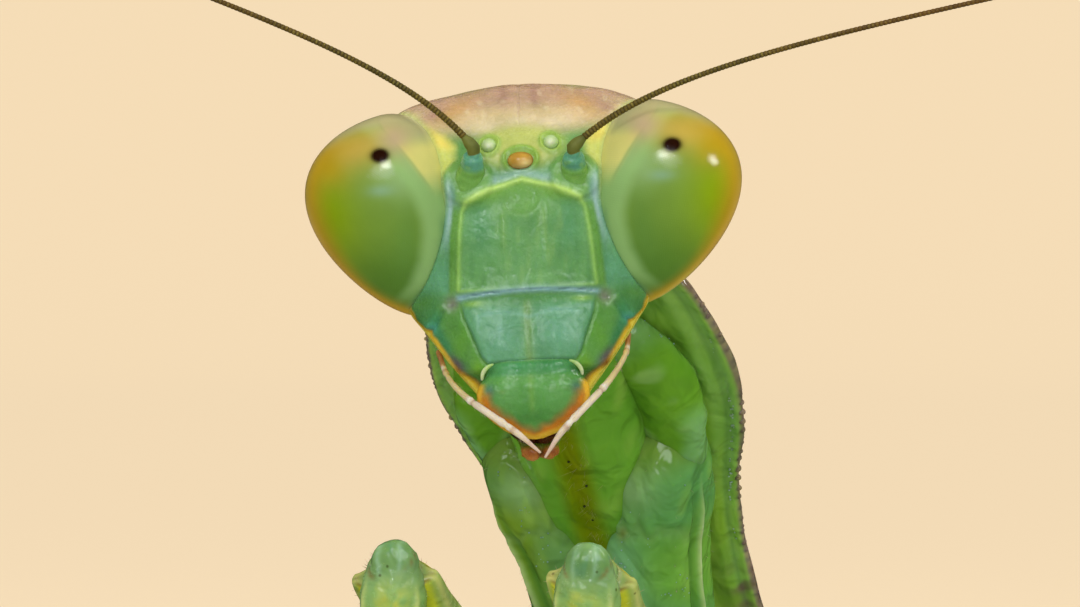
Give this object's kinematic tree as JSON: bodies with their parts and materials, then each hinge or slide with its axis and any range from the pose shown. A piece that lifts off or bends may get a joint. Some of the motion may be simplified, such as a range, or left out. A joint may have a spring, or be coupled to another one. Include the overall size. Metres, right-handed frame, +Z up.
{
  "type": "praying mantis",
  "caption": "Still, life-size model of a green praying mantis standing on its walking legs with the front of its body raised, its forelegs folded and its head turned to the viewer.",
  "frame": {"origin": "middle of the footprint box, on the floor", "axes": "the mantis faces -Y, its left side is +X and +Z is up"},
  "size_m": [0.0486, 0.068, 0.0422],
  "materials": {
    "cuticle": "smooth, softly glossy green cuticle",
    "face": "smooth, glossy blue-green cuticle with yellow and mauve patches",
    "compound_eye": "glossy, finely faceted olive-green eye with an orange rim",
    "ocellus": "glossy amber lens",
    "feeler": "matte, finely ringed olive-brown",
    "palp": "matte cream",
    "mouthpart": "glossy green to orange",
    "wing": "leathery green with raised veins",
    "membrane": "soft matte membrane"
  },
  "bodies": {
    "root": {"abdomen_front": "cuticle", "abdomen_middle": "cuticle", "abdomen_rear": "cuticle", "abdomen_tip": "cuticle", "cercus_left": "cuticle", "cercus_right": "cuticle", "clypeus": "face", "eye_left": "compound_eye", "eye_right": "compound_eye", "feeler_left_base": "feeler", "feeler_left_tip": "feeler", "feeler_right_base": "feeler", "feeler_right_tip": "feeler", "fore_coxa_left": "cuticle", "fore_coxa_right": "cuticle", "fore_femur_left": "cuticle", "fore_femur_right": "cuticle", "fore_tarsus_left": "cuticle", "fore_tarsus_right": "cuticle", "fore_tibia_left": "cuticle", "fore_tibia_right": "cuticle", "forewing_left": "wing", "forewing_right": "wing", "head_capsule": "face", "hind_coxa_left": "cuticle", "hind_coxa_right": "cuticle", "hind_femur_left": "cuticle", "hind_femur_right": "cuticle", "hind_tarsus_left": "cuticle", "hind_tarsus_right": "cuticle", "hind_tibia_left": "cuticle", "hind_tibia_right": "cuticle", "labium": "mouthpart", "labrum": "mouthpart", "mandible_left": "face", "mandible_right": "face", "mid_coxa_left": "cuticle", "mid_coxa_right": "cuticle", "mid_femur_left": "cuticle", "mid_femur_right": "cuticle", "mid_tarsus_left": "cuticle", "mid_tarsus_right": "cuticle", "mid_tibia_left": "cuticle", "mid_tibia_right": "cuticle", "neck": "membrane", "ocellus_left": "ocellus", "ocellus_middle": "ocellus", "ocellus_right": "ocellus", "palp_left": "palp", "palp_right": "palp", "pronotum": "cuticle", "prosternum": "cuticle", "pterothorax": "cuticle", "scape_left": "face", "scape_right": "face"}
  },
  "joints": []
}
